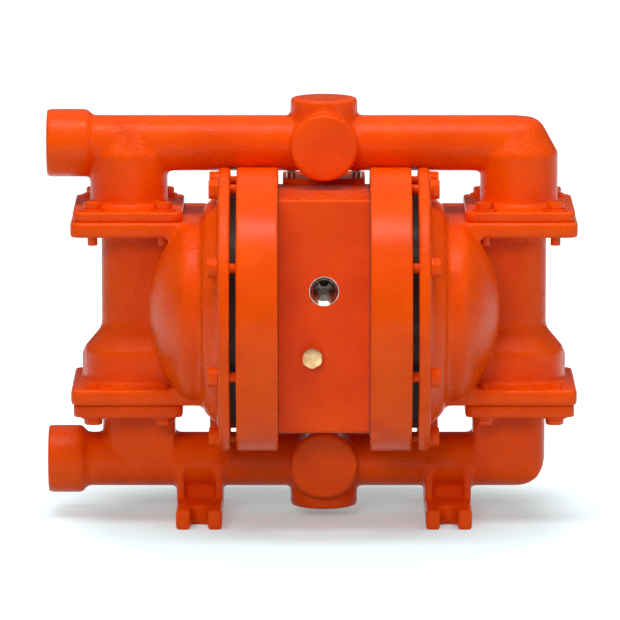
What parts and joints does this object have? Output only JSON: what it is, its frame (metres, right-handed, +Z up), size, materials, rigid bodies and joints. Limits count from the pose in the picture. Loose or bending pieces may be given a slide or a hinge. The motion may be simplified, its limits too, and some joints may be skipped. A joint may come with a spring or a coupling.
{
  "type": "air operated diaphragm pump",
  "caption": "Bolted air operated double diaphragm pump: dished chambers on a centre block, side columns with ball valves, pipe manifolds above and below, slotted feet.",
  "frame": {"origin": "on the floor, in the plane through the middle of the pump, straight under the rod's axis", "axes": "+X along the rod to the right as seen from the air inlet, +Y from the air inlet side to the back, +Z up"},
  "size_m": [0.5322, 0.2918, 0.4254],
  "materials": {
    "air_casting": "gloss enamel over cast aluminium",
    "ball": "matte",
    "bolt": "painted over",
    "brass_plug": "plain",
    "bronze": "machined",
    "casting": "gloss enamel over cast metal",
    "diaphragm": "matte",
    "piston": "machined",
    "screw_steel": "zinc plated",
    "seat": "machined",
    "sheet_rubber": "matte",
    "steel": "ground"
  },
  "bodies": {
    "pump": {"air_chamber_gasket_left": "sheet_rubber", "air_chamber_gasket_right": "sheet_rubber", "air_chamber_left": "air_casting", "air_chamber_right": "air_casting", "air_chamber_screws_left": "screw_steel", "air_chamber_screws_right": "screw_steel", "air_valve_body": "air_casting", "air_valve_cap_bottom": "air_casting", "air_valve_cap_screws": "screw_steel", "air_valve_cap_top": "air_casting", "air_valve_gasket": "sheet_rubber", "air_valve_screws": "screw_steel", "center_block": "air_casting", "chamber_bolts_left": "bolt", "chamber_bolts_right": "bolt", "chamber_washers_left": "bolt", "chamber_washers_right": "bolt", "discharge_bolts": "bolt", "discharge_manifold": "casting", "discharge_seat_left": "seat", "discharge_seat_right": "seat", "discharge_seat_ring_left": "sheet_rubber", "discharge_seat_ring_right": "sheet_rubber", "discharge_washers": "bolt", "inlet_bolts": "bolt", "inlet_manifold": "casting", "inlet_seat_left": "seat", "inlet_seat_right": "seat", "inlet_seat_ring_left": "sheet_rubber", "inlet_seat_ring_right": "sheet_rubber", "inlet_washers": "bolt", "liquid_chamber_left": "casting", "liquid_chamber_right": "casting", "pilot_sleeve": "bronze", "pipe_plug": "brass_plug", "shaft_bush_left": "bronze", "shaft_bush_right": "bronze", "shaft_seal_left": "sheet_rubber", "shaft_seal_right": "sheet_rubber"},
    "rod": {"diaphragm_rod": "steel", "inner_piston_left": "piston", "inner_piston_right": "piston", "outer_piston_left": "piston", "outer_piston_right": "piston", "diaphragm_left": "diaphragm", "diaphragm_right": "diaphragm"},
    "inlet_ball_left": {"inlet_ball_left": "ball"},
    "inlet_ball_right": {"inlet_ball_right": "ball"},
    "discharge_ball_left": {"discharge_ball_left": "ball"},
    "discharge_ball_right": {"discharge_ball_right": "ball"},
    "air_valve_spool": {"air_valve_spool": "steel"},
    "pilot_spool": {"pilot_spool": "steel"}
  },
  "joints": [
    {"name": "rod_slide", "type": "slide", "parent": "pump", "child": "rod", "axis": [1, 0, 0], "range_m": [-0.019, 0.019], "stiffness_N_per_m": 4000, "deforming": ["diaphragm_left", "diaphragm_right"]},
    {"name": "inlet_ball_left_lift", "type": "slide", "parent": "pump", "child": "inlet_ball_left", "axis": [0, 0, 1], "range_m": [0, 0.016]},
    {"name": "discharge_ball_left_lift", "type": "slide", "parent": "pump", "child": "discharge_ball_left", "axis": [0, 0, 1], "range_m": [0, 0.016]},
    {"name": "inlet_ball_right_lift", "type": "slide", "parent": "pump", "child": "inlet_ball_right", "axis": [0, 0, 1], "range_m": [0, 0.016]},
    {"name": "discharge_ball_right_lift", "type": "slide", "parent": "pump", "child": "discharge_ball_right", "axis": [0, 0, 1], "range_m": [0, 0.016]},
    {"name": "air_valve_shift", "type": "slide", "parent": "pump", "child": "air_valve_spool", "axis": [0, 0, 1], "range_m": [0, 0.014]},
    {"name": "pilot_shift", "type": "slide", "parent": "pump", "child": "pilot_spool", "axis": [1, 0, 0], "range_m": [-0.003, 0.003]}
  ]
}
